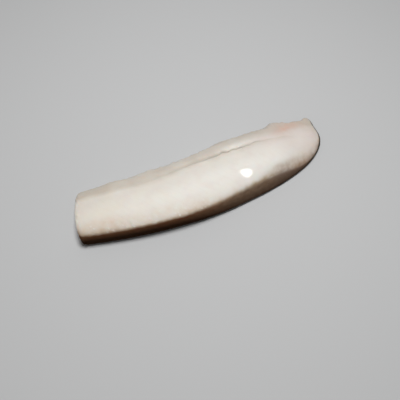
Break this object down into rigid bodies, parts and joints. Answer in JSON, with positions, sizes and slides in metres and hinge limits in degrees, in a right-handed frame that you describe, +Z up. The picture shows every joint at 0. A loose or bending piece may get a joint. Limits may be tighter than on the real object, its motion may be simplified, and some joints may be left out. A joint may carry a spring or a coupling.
{
  "type": "salt cod loin",
  "caption": "Thick boneless loin of white salt cod, knife-cut at the head end and thinning to a ragged tail, with a shallow muscle seam along its top.",
  "frame": {"origin": "middle of the loin's box, on the surface that it lies on", "axes": "+X along the loin from the knife cut to the tail, +Y to the back edge, +Z up"},
  "size_m": [0.3866, 0.1124, 0.0425],
  "materials": {
    "flesh": "moist white fish flesh with a wet satin sheen, faint pink and straw tints, dark mottled skin underneath"
  },
  "bodies": {
    "root": {"loin": "flesh"}
  },
  "joints": []
}
